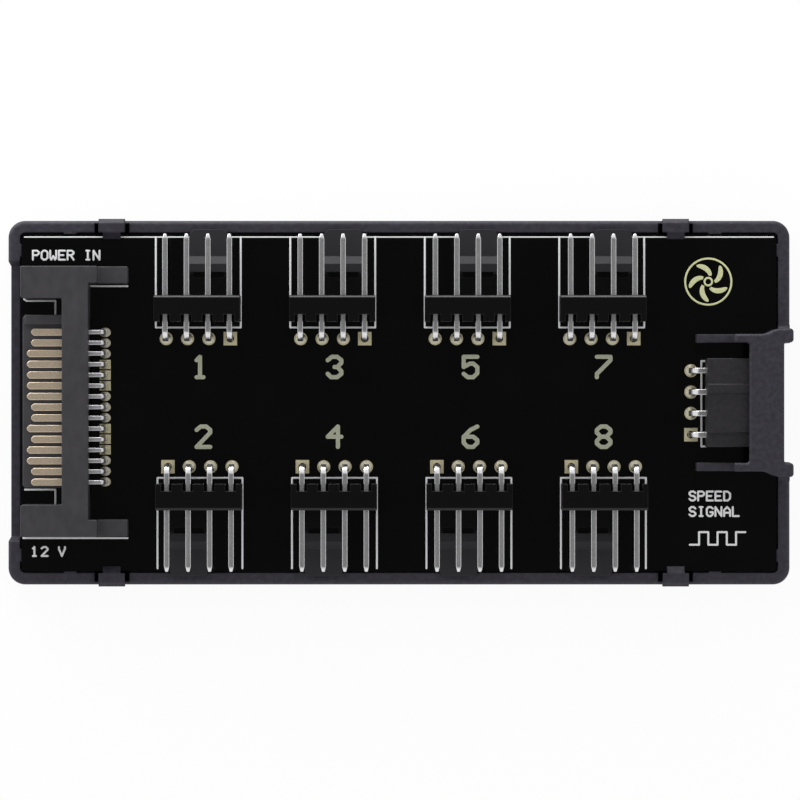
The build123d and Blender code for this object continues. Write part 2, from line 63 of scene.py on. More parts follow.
bl_info = {
    "name": "Fan Hub Looks",
    "version": (1, 0, 0),
    "blender": (4, 5, 0),
    "location": "View3D > Sidebar > Fan Hub",
    "description": "Gives the fan hub its finishes, pads, board print and studio stage",
    "category": "Object",
}

MM = 0.001
BODY = "root"
FAN_HEADERS = range(1, 9)
FAN_PINS = 4
CONTACTS = 15
MERGE_DISTANCE = 0.001 * MM
FLAT_ANGLE = math.radians(1)
EDGE_ANGLE = math.radians(30)
SMOOTH_ANGLE = math.radians(60)

BOARD_LOW, BOARD_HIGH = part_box("circuit_board")
BOARD_TOP = BOARD_HIGH.z

# Length of a lock tab from its end to its slot, over which a paler colour paints the sheen its ramps catch,
# and the reach of the inlet's leads into its body
LOCK_ROOM = 5.3 * MM
LEAD_ROOM = 3.0 * MM

# Rays that see the white of the floor and of the tent
SEEING_RAYS = ("Camera", "Glossy", "Transmission")

# White of the tent by height, with a dim opening over the camera, and the plain light that it gives
TENT_STOPS = ((0.0, 0.95), (0.90, 1.0), (0.965, 0.42), (0.99, 0.13), (1.0, 0.09))
TENT_LIGHT = 0.85

# Soft lamps: place, size and radiance
SOFTBOXES = {
    "raking_strip": ((-0.06, 0.145, 0.035), (0.30, 0.05), 8.2),
}

# Ramps that sharpen a soft noise into the mottle of moulded plastic and the flecks of plated metal
MOTTLE_STOPS = ((0.36, 0.0), (0.64, 1.0))
FLECK_STOPS = ((0.42, 0.0), (0.62, 1.0))

# Sizes of those flecks, of the fine lines on drawn or stamped metal and of a tray-wide drift of shade
FLECK_SIZE = 0.16 * MM
LINE_SIZE = 0.05 * MM
DRIFT_SIZE = 14 * MM

# Refraction of the moulded plastics, and of the smoother header nylon and solder mask
MOULDED_IOR = 1.38
SMOOTH_IOR = 1.36

# Samples of an edge that is softened in its finish
EDGE_SAMPLES = 6

# Upward part of a face's normal below which the face looks down
FACING_DOWN = -0.5

# Inlet pads that are square, counted from the keyed end
SQUARE_LEADS = (4, 5, 6, 10, 11, 12)

# Solder fillet: its share of a pin's pad and of a lead's, then each step's narrowing and rise by its width
PIN_FILLET = 0.82
LEAD_FILLET = 0.94
FILLET_STEPS = ((0.93, 0.030), (0.62, 0.004), (0.80, 0.050), (0.85, 0.060))

# Round ends of a pen line, and the steps round its section
CAP_TURNS = (80, 55, 30, 0)
PEN_RESOLUTION = 2

# Places of the numerals, lines, words and signs on the board
NUMERAL_LEFTS = (-24.08 * MM, -8.48 * MM, 7.70 * MM, 23.54 * MM)
NUMERAL_LIFT = 0.1 * MM
INLET_LINES = [
    [(-36.7 * MM, 13.87 * MM), (-32.3 * MM, 13.87 * MM)],
    [(-44.7 * MM, -16.1 * MM), (-32.3 * MM, -16.1 * MM)],
    [(-44.6 * MM, 12.32 * MM), (-44.3 * MM, 12.12 * MM), (-40.87 * MM, 12.12 * MM), (-40.87 * MM, 10.2 * MM)],
    [(-44.5 * MM, -10.35 * MM), (-40.87 * MM, -10.35 * MM), (-40.87 * MM, -12.3 * MM)],
]
CONTROL_LINES = [
    [(36.5 * MM, 4.95 * MM), (35.98 * MM, 4.95 * MM), (35.98 * MM, -5.2 * MM), (36.5 * MM, -5.2 * MM)],
]
LABELS = (
    ("POWER IN", (-43.55 * MM, 17.54 * MM)),
    ("12 V", (-43.55 * MM, -17.7 * MM)),
    ("SPEED", (34.56 * MM, -11.1 * MM)),
    ("SIGNAL", (34.56 * MM, -12.95 * MM)),
)
WAVE_START = (34.6 * MM, -16.9 * MM)
WAVE_HEIGHT = 1.5 * MM
WAVE_STEP = 1.1 * MM
WAVE_HALVES = 6
FAN_SIGN_PLACE = Vector((36.8 * MM, 14.4 * MM))
FAN_SIGN_RING = 2.75 * MM
FAN_SIGN_HUB = 0.45 * MM
FAN_SIGN_ROOT = 0.75 * MM
FAN_SIGN_TIP = 2.35 * MM
FAN_SIGN_BLADE = 0.95 * MM
FAN_SIGN_ROOT_SHARE = 0.35
FAN_SIGN_SWELL = 1.1
FAN_SIGN_TURN = 72
FAN_SIGN_SWEEP = 55
FAN_SIGN_POINTS = 49

# Pen strokes of the board's numerals and letters, on a grid 4 wide and 6 high
GLYPH_HEIGHT = 6
GLYPHS = {
    "1": [[(0, 5), (1, 6), (1, 0)], [(0, 0), (2, 0)]],
    "2": [[(0, 5), (1.2, 6), (2.8, 6), (4, 5), (4, 4.2), (0, 0), (4, 0)]],
    "3": [
        [(0, 5), (1.2, 6), (2.8, 6), (4, 5), (4, 4.2), (2.8, 3), (2, 3)],
        [(2.8, 3), (4, 1.8), (4, 1), (2.8, 0), (1, 0), (0, 1)],
    ],
    "4": [[(3, 0), (3, 6), (0, 3), (4, 3)]],
    "5": [[(4, 6), (0, 6), (0, 3), (1.8, 4), (2.8, 4), (4, 3), (4, 1.2), (2.8, 0), (1.2, 0), (0, 1)]],
    "6": [[(4, 6), (2, 5), (0, 3), (0, 1.2), (1.2, 0), (2.8, 0), (4, 1.2), (4, 2), (2.8, 3), (0, 3)]],
    "7": [[(0, 6), (4, 6), (4, 5), (0, 1), (0, 0)]],
    "8": [
        [(1.2, 3), (0, 4.2), (0, 5), (1.2, 6), (2.8, 6), (4, 5), (4, 4.2), (2.8, 3)],
        [(1.2, 3), (2.8, 3), (4, 1.8), (4, 1), (2.8, 0), (1.2, 0), (0, 1), (0, 1.8), (1.2, 3)],
    ],
    "A": [[(0, 0), (0, 4), (2, 6), (4, 4), (4, 0)], [(0, 2.2), (4, 2.2)]],
    "D": [[(0, 0), (0, 6), (2.4, 6), (4, 4.6), (4, 1.4), (2.4, 0), (0, 0)]],
    "E": [[(4, 6), (0, 6), (0, 0), (4, 0)], [(0, 3), (3, 3)]],
    "G": [
        [(4, 5), (2.8, 6), (1.2, 6), (0, 4.8), (0, 1.2), (1.2, 0), (2.8, 0), (4, 1.2), (4, 2.6)],
        [(4, 2.6), (2.4, 2.6)],
    ],
    "I": [[(1, 6), (3, 6)], [(2, 6), (2, 0)], [(1, 0), (3, 0)]],
    "L": [[(0, 6), (0, 0), (4, 0)]],
    "N": [[(0, 0), (0, 6), (4, 0), (4, 6)]],
    "O": [[(1.2, 0), (0, 1.2), (0, 4.8), (1.2, 6), (2.8, 6), (4, 4.8), (4, 1.2), (2.8, 0), (1.2, 0)]],
    "P": [[(0, 0), (0, 6), (2.8, 6), (4, 5), (4, 4), (2.8, 3), (0, 3)]],
    "R": [[(0, 0), (0, 6), (2.8, 6), (4, 5), (4, 4), (2.8, 3), (0, 3)], [(2, 3), (4, 0)]],
    "S": [
        [(4, 5), (2.8, 6), (1.2, 6), (0, 5), (0, 4.2), (1.2, 3), (2.8, 3)],
        [(2.8, 3), (4, 1.8), (4, 1), (2.8, 0), (1.2, 0), (0, 1)],
    ],
    "V": [[(0, 6), (0, 4.8), (2, 0), (4, 4.8), (4, 6)]],
    "W": [[(0, 6), (0, 1.2), (0.8, 0), (2, 2.4), (3.2, 0), (4, 1.2), (4, 6)]],
    " ": [],
}


def length(name, description, default):
    """A length property, in metres."""
    return bpy.props.FloatProperty(
        name=name,
        description=description,
        default=default,
        subtype="DISTANCE",
        unit="LENGTH",
        precision=6,
    )


def colour(name, description, default):
    """A colour property."""
    return bpy.props.FloatVectorProperty(
        name=name,
        description=description,
        default=default,
        subtype="COLOR",
        size=3,
        min=0.0,
        max=1.0,
    )


class HubFinishSettings(bpy.types.PropertyGroup):
    """Colours of the finishes and the rounding of the moulded and stamped edges."""

    tray: colour("Tray", "Moulded tray", (0.0240, 0.0215, 0.0315))
    board: colour("Board", "Solder mask of the board", (0.0009, 0.0008, 0.0009))
    header: colour("Headers", "Fan header bodies", (0.0020, 0.0019, 0.0023))
    # Lock tab colour: the same nylon as the headers, painted paler as a painted sheen for the light the tabs'
    # ramps catch
    lock: colour("Lock tabs", "Matt lock tabs of the fan headers", (0.0135, 0.0126, 0.0157))
    control: colour("Control header", "Control header body", (0.0125, 0.0108, 0.0135))
    inlet: colour("Inlet", "Power inlet body", (0.035, 0.033, 0.038))
    pin: colour("Pins", "Tin plated pins", (0.73, 0.725, 0.74))
    lead: colour("Leads", "Tin plated inlet leads", (0.60, 0.59, 0.61))
    contact: colour("Contacts", "Gold flashed inlet contacts", (0.74, 0.61, 0.46))
    solder: colour("Solder", "Solder at the pins", (0.46, 0.44, 0.34))
    lead_solder: colour("Lead solder", "Solder at the inlet's leads", (0.30, 0.285, 0.245))
    gilt_solder: colour("Gilt solder", "Solder at the inlet's square pads", (0.29, 0.265, 0.18))
    pad: colour("Pads", "Plated pads", (0.60, 0.55, 0.37))
    numeral: colour("Numerals", "Plated numerals", (0.40, 0.41, 0.31))
    sign: colour("Sign", "Plated fan sign", (0.65, 0.67, 0.375))
    ink: colour("Ink", "Printed lines and words", (0.72, 0.72, 0.73))
    chip: colour("Chips", "Small parts under the board", (0.012, 0.012, 0.013))
    magnet: colour("Magnets", "Nickel plated magnets", (0.58, 0.57, 0.55))
    tray_round: length("Tray edge", "Softening of the tray's small edges", 0.28 * MM)
    moulded_round: length("Moulded edge", "Round on moulded edges", 0.12 * MM)
    header_round: length("Header edge", "Round on the fan headers' edges", 0.05 * MM)
    pin_round: length("Pin edge", "Round on the pins' edges", 0.07 * MM)
    contact_round: length("Contact edge", "Round on the contacts' edges", 0.08 * MM)
    round_steps: bpy.props.IntProperty(
        name="Edge steps",
        description="Faces across a rounded edge",
        default=2,
        min=1,
    )


class HubPadSettings(bpy.types.PropertyGroup):
    """Sizes of the plated pads round the pins and leads."""

    pin_side: length("Pin side", "Side of a square pin", 0.64 * MM)
    lead_thickness: length("Lead thickness", "Thickness of an inlet lead", 0.25 * MM)
    contact_width: length("Contact width", "Width of an inlet contact", 0.87 * MM)
    pin_pad: length("Pin pad", "Diameter of a round pin pad", 1.55 * MM)
    pin_square: length("First pin pad", "Side of the square pad at a first pin", 1.6 * MM)
    pin_hole: length("Pin hole", "Plated hole round a pin", 0.95 * MM)
    lead_pad: length("Lead pad", "Width of a lead pad", 1.1 * MM)
    lead_hole: length("Lead hole", "Plated hole round a lead", 0.64 * MM)
    lead_stretch: bpy.props.FloatProperty(
        name="Lead pad stretch",
        description="Length of a lead pad by its width",
        default=1.2,
        min=1.0,
    )
    plating: length("Plating", "Thickness of pads and of the hole's plating", 0.02 * MM)
    sides: bpy.props.IntProperty(
        name="Sides",
        description="Sides of a round pad, a multiple of four",
        default=32,
        min=8,
    )


class HubPrintSettings(bpy.types.PropertyGroup):
    """Sizes and places of the board's numerals, words and lines."""

    ink_height: length("Ink height", "Thickness of the print", 0.02 * MM)
    line_width: length("Line width", "Width of the printed lines", 0.22 * MM)
    edge_width: length("Edge line width", "Width of the line along the board's edge", 0.15 * MM)
    edge_inset: length("Edge inset", "Edge line inside the board's edge", 0.3 * MM)
    outline_half: length("Outline half", "Half width of a fan header's outline", 5.05 * MM)
    outline_back: length("Outline back", "Back line of a header from the middle line", 8.95 * MM)
    outline_end: length("Outline end", "End of a header's side lines from the middle line", 19.7 * MM)
    numeral_grid: length("Numeral grid", "Grid step of the numerals", 0.405 * MM)
    numeral_stroke: length("Numeral stroke", "Pen width of the numerals", 0.49 * MM)
    numeral_middle: length("Numeral middle", "Middle of the numerals from the middle line", 4.15 * MM)
    label_grid: length("Label grid", "Grid step of the words", 0.178 * MM)
    label_stroke: length("Label stroke", "Pen width of the words", 0.23 * MM)
    label_step: length("Label step", "From one letter to the next", 1.03 * MM)


class HubStageSettings(bpy.types.PropertyGroup):
    """Camera and light."""

    camera_height: length("Camera height", "Camera above the board", 700 * MM)
    view_width: length("View width", "Width of the view at the board", 95.18 * MM)
    camera_x: length("Camera X", "Camera to the right of the middle", 0.12 * MM)
    camera_y: length("Camera Y", "Camera above the middle line", 0.32 * MM)
    sensor: length("Sensor", "Width of the camera's sensor", 36 * MM)
    floor_size: length("Floor", "Side of the floor", 6.0)
    floor_rise: length("Floor rise", "Floor over the hub's flat back, so that they share no plane", 0.02 * MM)
    floor_colour: colour("Floor colour", "Pale floor", (0.95, 0.95, 0.95))
    floor_white: bpy.props.FloatProperty(
        name="Floor white",
        description="Share of plain white in the floor as it is seen",
        default=0.92,
        subtype="FACTOR",
        min=0.0,
        max=1.0,
    )


class Wire:
    """A shader socket. Arithmetic on it adds Math nodes."""

    def __init__(self, finish, socket):
        self.finish = finish
        self.socket = socket

    def math(self, operation, first, second):
        return self.finish.node("ShaderNodeMath", {"operation": operation}, {0: first, 1: second})

    def __add__(self, other):
        return self.math("ADD", self, other)

    def __radd__(self, other):
        return self.math("ADD", other, self)

    def __sub__(self, other):
        return self.math("SUBTRACT", self, other)

    def __rsub__(self, other):
        return self.math("SUBTRACT", other, self)

    def __mul__(self, other):
        return self.math("MULTIPLY", self, other)

    def __rmul__(self, other):
        return self.math("MULTIPLY", other, self)


class Finish:
    """A node tree in the making, for a material or the world."""

    def __init__(self, owner):
        self.owner = owner
        owner.use_nodes = True
        self.tree = owner.node_tree
        self.tree.nodes.clear()

    def node(self, kind, settings=None, sockets=None, output=0):
        """Adds a node with its settings, then the values or wires of its sockets, and gives an output."""
        made = self.tree.nodes.new(kind)
        for name, value in (settings or {}).items():
            if name == "stops":
                self.set_stops(made.color_ramp, value)
            else:
                setattr(made, name, value)
        for key, value in (sockets or {}).items():
            if isinstance(value, Wire):
                self.tree.links.new(value.socket, made.inputs[key])
            else:
                made.inputs[key].default_value = value
        return Wire(self, made.outputs[output]) if made.outputs else None

    @staticmethod
    def set_stops(ramp, stops):
        """Sets a ramp's stops, each a place and a grey level."""
        while len(ramp.elements) < len(stops):
            ramp.elements.new(1.0)
        for element, (place, level) in zip(ramp.elements, stops):
            element.position = place
            element.color = (level, level, level, 1.0)

    def noise(self, size, detail=2.0, stretch=(1.0, 1.0, 1.0)):
        """Soft noise with patches about this size, longer where stretch is over 1."""
        place = self.node("ShaderNodeTexCoord", output="Object")
        squeeze = tuple(1.0 / share for share in stretch)
        place = self.node("ShaderNodeMapping", {}, {"Vector": place, "Scale": squeeze})
        return self.node("ShaderNodeTexNoise", {}, {"Vector": place, "Scale": 1.0 / size, "Detail": detail})

    def ramp(self, wire, stops):
        """Spreads a value over a ramp of grey levels."""
        return self.node("ShaderNodeValToRGB", {"stops": stops}, {0: wire})

    def flecks(self):
        """Small flecks of plating."""
        return self.ramp(self.noise(FLECK_SIZE, detail=3.0), FLECK_STOPS)

    def lines(self, stretch):
        """Fine lines that drawing or stamping leaves in metal."""
        return self.noise(LINE_SIZE, detail=3.0, stretch=stretch)

    def tint(self, base, share, mask):
        """The base colour, darker to lighter by this share as the mask goes from 0 to 1."""
        dark = tuple(channel * (1.0 - share) for channel in base)
        light = tuple(min(1.0, channel * (1.0 + share)) for channel in base)
        return self.node(
            "ShaderNodeMix",
            {"data_type": "RGBA"},
            {0: mask, 6: (*dark, 1.0), 7: (*light, 1.0)},
            output=2,
        )

    def blend(self, mask, first, second):
        """The first colour where the mask is 0 and the second where it is 1."""
        return self.node("ShaderNodeMix", {"data_type": "RGBA"}, {0: mask, 6: first, 7: second}, output=2)

    def place(self, axis):
        """Where a point lies along an axis of the hub."""
        point = self.node("ShaderNodeTexCoord", output="Object")
        return self.node("ShaderNodeSeparateXYZ", {}, {0: point}, output=axis)

    def past(self, change):
        """1 past a change in X, 0 before it."""
        return self.node("ShaderNodeMath", {"operation": "GREATER_THAN"}, {0: self.place("X"), 1: change})

    def beyond(self, reach):
        """1 farther than this from the hub's long middle line, 0 nearer."""
        away = self.node("ShaderNodeMath", {"operation": "ABSOLUTE"}, {0: self.place("Y")})
        return self.node("ShaderNodeMath", {"operation": "GREATER_THAN"}, {0: away, 1: reach})

    def bump(self, height, depth, strength, edge_round=0.0):
        """A surface normal from a height of this depth, soft over the edges where a round is given."""
        sockets = {"Strength": strength, "Distance": depth, "Height": height}
        if edge_round:
            soft = self.node("ShaderNodeBevel", {"samples": EDGE_SAMPLES}, {"Radius": edge_round})
            sockets["Normal"] = soft
        return self.node("ShaderNodeBump", {}, sockets)

    def seeing_rays(self):
        """1 for rays that look at a surface, 0 for those that only carry its light."""
        camera, glossy, transmission = [
            self.node("ShaderNodeLightPath", output=f"Is {kind} Ray") for kind in SEEING_RAYS
        ]
        return camera + glossy + transmission

    def surface(self, sockets):
        """Ends the tree in a principled surface."""
        shader = self.node("ShaderNodeBsdfPrincipled", {}, sockets)
        self.node("ShaderNodeOutputMaterial", {}, {"Surface": shader})
        return self.owner


def new_finish(name):
    """An empty finish for a new material."""
    return Finish(bpy.data.materials.new(name))


def moulded_plastic(name, base, roughness, grain_size, grain_depth, edge_round=0.0):
    """Moulded plastic with an eroded grain, a mottle and a slow drift of shade."""
    finish = new_finish(name)
    grain = finish.noise(grain_size, detail=3.0)
    patches = finish.ramp(finish.noise(3 * grain_size, detail=3.0), MOTTLE_STOPS)
    drift = finish.noise(DRIFT_SIZE)
    return finish.surface({
        "Base Color": finish.tint(base, 0.5, 0.2 * drift + 0.5 * patches + 0.3 * grain),
        "Roughness": roughness - 0.06 + 0.12 * grain,
        "IOR": MOULDED_IOR,
        "Normal": finish.bump(grain, grain_depth, 0.5, edge_round),
    })


def filled_plastic(name, base, roughness):
    """Filled plastic with flow marks along the inlet."""
    finish = new_finish(name)
    marks = finish.noise(0.9 * MM, detail=4.0, stretch=(1.0, 2.0, 1.0))
    grain = finish.noise(0.16 * MM, detail=3.0)
    return finish.surface({
        "Base Color": finish.tint(base, 0.35, marks),
        "Roughness": roughness - 0.08 + 0.16 * marks,
        "IOR": MOULDED_IOR,
        "Normal": finish.bump(grain, 0.02 * MM, 0.4),
    })


def header_nylon(name, base, lock_sheen_colour, reach):
    """Header plastic: smooth on the block; beyond this reach, on the lock tabs, rougher and with a paler
    colour that is a painted sheen for the light their ramps catch.
    """
    finish = new_finish(name)
    grain = finish.noise(0.14 * MM, detail=3.0)
    # Lock tab mask: rougher there, and painted paler as a painted sheen
    lock = finish.beyond(reach)
    return finish.surface({
        # The paler colour on the lock tabs is a painted sheen, not a different plastic
        "Base Color": finish.blend(lock, finish.tint(base, 0.2, grain), finish.tint(lock_sheen_colour, 0.2, grain)),
        "Roughness": 0.16 + 0.08 * grain + 0.36 * lock,
        "IOR": SMOOTH_IOR,
        "Normal": finish.bump(grain, 0.010 * MM, 0.3),
    })


def contact_plating(name, gold, tin, change):
    """Stamped contacts: gold flash on the blades, bright tin on the leads past a change in X."""
    finish = new_finish(name)
    lines = finish.lines(stretch=(6.0, 1.0, 1.0))
    flecks = finish.flecks()
    lead = finish.past(change)
    return finish.surface({
        "Base Color": finish.blend(lead, finish.tint(gold, 0.10, flecks), finish.tint(tin, 0.04, flecks)),
        "Metallic": 1.0,
        "Roughness": 0.29 + 0.08 * lines,
        "Normal": finish.bump(lines, 0.004 * MM, 0.25),
    })


def solder_mask(name, base):
    """Black solder mask, slightly uneven over its copper."""
    finish = new_finish(name)
    drift = finish.noise(6 * MM, detail=3.0)
    peel = finish.noise(0.5 * MM, detail=2.0)
    return finish.surface({
        "Base Color": finish.tint(base, 0.3, drift),
        "Roughness": 0.11 + 0.06 * drift,
        "IOR": SMOOTH_IOR,
        "Normal": finish.bump(peel, 0.006 * MM, 0.3),
    })


def plated_metal(name, base, roughness, stretch, fleck_share):
    """Plated metal with fine drawing lines and small flecks."""
    finish = new_finish(name)
    lines = finish.lines(stretch)
    return finish.surface({
        "Base Color": finish.tint(base, fleck_share, finish.flecks()),
        "Metallic": 1.0,
        "Roughness": roughness - 0.04 + 0.08 * lines,
        "Normal": finish.bump(lines, 0.004 * MM, 0.10),
    })


def pin_tin(name, base, stretch):
    """Bright tin on square pins, drawn along the stretch."""
    return plated_metal(name, base, roughness=0.25, stretch=stretch, fleck_share=0.06)


def tin_solder(name, base):
    """Solder with a soft skin that is uneven in shade and gloss."""
    finish = new_finish(name)
    patches = finish.noise(0.35 * MM, detail=2.0)
    skin = finish.noise(0.12 * MM, detail=3.0)
    return finish.surface({
        "Base Color": finish.tint(base, 0.22, patches),
        "Metallic": 0.85,
        "Roughness": 0.22 + 0.14 * skin,
        "Normal": finish.bump(skin, 0.02 * MM, 0.4),
    })


def plated_copper(name, base, metallic):
    """Plated copper on the board: dull, with a faint mottle."""
    finish = new_finish(name)
    mottle = finish.noise(0.3 * MM, detail=4.0)
    return finish.surface({
        "Base Color": finish.tint(base, 0.16, mottle),
        "Metallic": metallic,
        "Roughness": 0.36 + 0.16 * mottle,
        "Normal": finish.bump(mottle, 0.01 * MM, 0.3),
    })


def board_ink(name, base):
    """Printed ink with a slightly broken cover."""
    finish = new_finish(name)
    cover = finish.noise(0.12 * MM, detail=3.0)
    return finish.surface({
        "Base Color": finish.tint(base, 0.10, cover),
        "Roughness": 0.5 + 0.2 * cover,
    })


def select_only(piece):
    """Makes a piece the only selected one and the active one."""
    bpy.ops.object.select_all(action="DESELECT")
    piece.select_set(True)
    bpy.context.view_layer.objects.active = piece


def select_vertices(piece, test):
    """Goes into edit mode with the vertices selected whose place passes the test."""
    bpy.ops.object.mode_set(mode="EDIT")
    bpy.ops.mesh.select_mode(type="VERT")
    bpy.ops.mesh.select_all(action="DESELECT")
    bpy.ops.object.mode_set(mode="OBJECT")
    for vertex in piece.data.vertices:
        vertex.select = test(vertex.co)
    bpy.ops.object.mode_set(mode="EDIT")


def apply_modifier(piece, kind, **settings):
    """Adds a modifier to the active piece, sets it and applies it."""
    bpy.ops.object.modifier_add(type=kind)
    modifier = piece.modifiers[-1]
    for name, value in settings.items():
        setattr(modifier, name, value)
    bpy.ops.object.modifier_apply(modifier=modifier.name)


def seat(piece, name, finish):
    """Names a finished piece, gives it its finish and fixes it to the hub."""
    piece.name = name
    piece.data.name = name
    piece.data.materials.clear()
    piece.data.materials.append(finish)
    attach(piece, BODY)
    return piece


def solid_copy(node):
    """Copies a solid as one closed mesh without needless edges, and leaves it the active object."""
    select_only(frame["nodes"][node])
    bpy.ops.object.duplicate()
    piece = bpy.context.active_object
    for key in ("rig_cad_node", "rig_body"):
        del piece[key]
    bpy.ops.object.mode_set(mode="EDIT")
    bpy.ops.mesh.select_all(action="SELECT")
    bpy.ops.mesh.customdata_custom_splitnormals_clear()
    bpy.ops.mesh.remove_doubles(threshold=MERGE_DISTANCE)
    bpy.ops.mesh.dissolve_limited(angle_limit=FLAT_ANGLE)
    bpy.ops.object.mode_set(mode="OBJECT")
    return piece


def stand_in(piece, angle, node, name, finish):
    """Smooths a solid's copy up to an angle and lets it stand for the solid."""
    bpy.ops.object.shade_smooth_by_angle(angle=angle)
    apply_modifier(piece, "WEIGHTED_NORMAL", keep_sharp=True)
    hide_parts(node)
    return seat(piece, name, finish)


def soften(node, name, finish, edge_round, steps):
    """Rounds the edges of a solid's copy, which then stands for the solid."""
    piece = solid_copy(node)
    apply_modifier(
        piece,
        "BEVEL",
        width=edge_round,
        segments=steps,
        limit_method="ANGLE",
        angle_limit=EDGE_ANGLE,
        use_clamp_overlap=False,
    )
    return stand_in(piece, SMOOTH_ANGLE, node, name, finish)


def repaint(node, finish):
    """Gives a solid that keeps its shape a better finish."""
    slots = frame["nodes"][node].material_slots
    for each in slots:
        each.material = finish


class HUB_OT_tray(bpy.types.Operator):
    """Tray with softened edges and a grained finish"""

    bl_idname = "hub.tray"
    bl_label = "Tray"

    def execute(self, context):
        settings = context.scene.hub_finish
        finish = moulded_plastic(
            "tray_moulded_plastic",
            settings.tray,
            roughness=0.52,
            grain_size=0.20 * MM,
            grain_depth=0.03 * MM,
            edge_round=settings.tray_round,
        )
        stand_in(solid_copy("base_tray"), EDGE_ANGLE, "base_tray", "tray_moulding", finish)
        return {"FINISHED"}


class HUB_OT_board(bpy.types.Operator):
    """Solder mask on the board"""

    bl_idname = "hub.board"
    bl_label = "Board"

    def execute(self, context):
        repaint("circuit_board", solder_mask("board_solder_mask", context.scene.hub_finish.board))
        return {"FINISHED"}


class HUB_OT_fan_headers(bpy.types.Operator):
    """Bodies and pins of the eight fan headers"""

    bl_idname = "hub.fan_headers"
    bl_label = "Fan headers"

    def execute(self, context):
        settings = context.scene.hub_finish
        steps = settings.round_steps
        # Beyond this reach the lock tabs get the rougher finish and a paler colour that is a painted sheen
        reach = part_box("fan_header_1_housing")[1].y - LOCK_ROOM
        body = header_nylon("header_black_nylon", settings.header, settings.lock, reach)
        pin = pin_tin("fan_pin_tin", settings.pin, stretch=(1.0, 12.0, 1.0))
        for number in FAN_HEADERS:
            node = f"fan_header_{number}_housing"
            soften(node, f"fan_header_{number}_body", body, settings.header_round, steps)
            node = f"fan_header_{number}_pins"
            soften(node, f"fan_header_{number}_pin_set", pin, settings.pin_round, steps)
        return {"FINISHED"}


class HUB_OT_power_inlet(bpy.types.Operator):
    """Body and contacts of the power inlet"""

    bl_idname = "hub.power_inlet"
    bl_label = "Power inlet"

    def execute(self, context):
        settings = context.scene.hub_finish
        steps = settings.round_steps
        body = filled_plastic("inlet_filled_plastic", settings.inlet, roughness=0.46)
        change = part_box("power_inlet_contacts")[1].x - LEAD_ROOM
        contact = contact_plating("inlet_contact_plating", settings.contact, settings.lead, change)
        soften(
            "power_inlet_housing",
            "power_inlet_body",
            body,
            settings.moulded_round,
            steps,
        )
        soften(
            "power_inlet_contacts",
            "power_inlet_blades",
            contact,
            settings.contact_round,
            steps,
        )
        return {"FINISHED"}


class HUB_OT_control_header(bpy.types.Operator):
    """Body and pins of the control header"""

    bl_idname = "hub.control_header"
    bl_label = "Control header"

    def execute(self, context):
        settings = context.scene.hub_finish
        steps = settings.round_steps
        body = moulded_plastic(
            "control_black_nylon",
            settings.control,
            roughness=0.48,
            grain_size=0.16 * MM,
            grain_depth=0.02 * MM,
        )
        pin = pin_tin("control_pin_tin", settings.pin, stretch=(12.0, 1.0, 1.0))
        soften(
            "control_header_housing",
            "control_header_body",
            body,
            settings.moulded_round,
            steps,
        )
        soften("control_header_pins", "control_header_pin_set", pin, settings.pin_round, steps)
        return {"FINISHED"}


class HUB_OT_hidden_parts(bpy.types.Operator):
    """Finishes of the small parts and magnets between board and tray"""

    bl_idname = "hub.hidden_parts"
    bl_label = "Hidden parts"

    def execute(self, context):
        settings = context.scene.hub_finish
        chip = moulded_plastic(
            "chip_epoxy",
            settings.chip,
            roughness=0.55,
            grain_size=0.08 * MM,
            grain_depth=0.01 * MM,
        )
        nickel = plated_metal(
            "magnet_nickel",
            settings.magnet,
            roughness=0.30,
            stretch=(1.0, 1.0, 1.0),
            fleck_share=0.05,
        )
        for node in ("signal_buffer_chip", "input_fuse", "surge_diode", "chip_capacitors", "chip_resistors"):
            repaint(node, chip)
        repaint("holding_magnets", nickel)
        return {"FINISHED"}


def pad_plan(outer, hole, square, sides):
    """Adds a flat pad at the origin: a ring, or a square plate with a round hole."""
    if square:
        bpy.ops.mesh.primitive_plane_add(size=outer)
    else:
        bpy.ops.mesh.primitive_circle_add(vertices=sides, radius=outer / 2, fill_type="NOTHING")
    piece = bpy.context.active_object
    bpy.ops.object.mode_set(mode="EDIT")
    bpy.ops.mesh.select_all(action="SELECT")
    if square:
        bpy.ops.mesh.delete(type="ONLY_FACE")
        bpy.ops.mesh.select_all(action="SELECT")
        bpy.ops.mesh.subdivide(number_cuts=sides // 4 - 1)
    bpy.ops.mesh.select_all(action="DESELECT")
    turn = math.pi / 4 if square else 0.0
    bpy.ops.mesh.primitive_circle_add(
        vertices=sides,
        radius=hole / 2,
        fill_type="NOTHING",
        rotation=(0.0, 0.0, turn),
    )
    bpy.ops.mesh.select_all(action="SELECT")
    bpy.ops.mesh.bridge_edge_loops()
    return piece


def lengthen(stretch):
    """Stretches the mesh in edit mode along X."""
    bpy.ops.mesh.select_all(action="SELECT")
    bpy.ops.transform.resize(value=(stretch, 1.0, 1.0), center_override=(0.0, 0.0, 0.0))


def pad(outer, hole, square, stretch, settings):
    """Models one pad at the origin with its plated hole, and leaves it the active object."""
    bpy.ops.object.select_all(action="DESELECT")
    piece = pad_plan(outer, hole, square, settings.sides)
    rim = hole / 2 + MERGE_DISTANCE
    select_vertices(piece, lambda place: place.xy.length < rim)
    bpy.ops.mesh.extrude_region_move(TRANSFORM_OT_translate={"value": (0.0, 0.0, BOARD_LOW.z - BOARD_TOP)})
    lengthen(stretch)
    bpy.ops.mesh.normals_make_consistent(inside=False)
    bpy.ops.object.mode_set(mode="OBJECT")
    if min(face.normal.z for face in piece.data.polygons) < FACING_DOWN:
        bpy.ops.object.mode_set(mode="EDIT")
        bpy.ops.mesh.flip_normals()
        bpy.ops.object.mode_set(mode="OBJECT")
    apply_modifier(piece, "SOLIDIFY", thickness=settings.plating, offset=1.0, use_even_offset=True)
    bpy.ops.object.shade_smooth_by_angle(angle=EDGE_ANGLE)
    return piece


